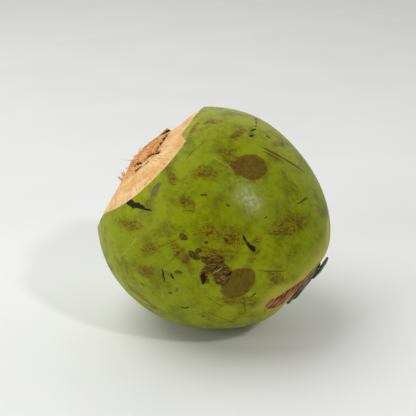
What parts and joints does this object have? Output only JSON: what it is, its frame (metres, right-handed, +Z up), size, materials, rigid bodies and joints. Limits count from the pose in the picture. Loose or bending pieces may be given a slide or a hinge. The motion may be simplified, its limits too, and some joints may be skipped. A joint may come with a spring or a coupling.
{
  "type": "green coconut",
  "caption": "Young drinking coconut lying on its side: a rounded green husk chopped flat at one end, with calyx scales round the stem end.",
  "frame": {"origin": "the middle of the small flat spot that the fruit rests on", "axes": "+Z up from the surface it lies on; the fruit's axis runs from the stem end at low +X up to the chopped end at high -X"},
  "size_m": [0.1819, 0.1723, 0.1701],
  "materials": {
    "husk": "waxy green skin with brown bruises and scratches; pale fibrous husk where it is cut",
    "calyx": "dark green dried leaf with brown edges"
  },
  "bodies": {
    "root": {"husk": "husk", "calyx_scale_1": "calyx", "calyx_scale_2": "calyx", "calyx_scale_3": "calyx", "calyx_scale_4": "calyx", "calyx_scale_5": "calyx"}
  },
  "joints": []
}
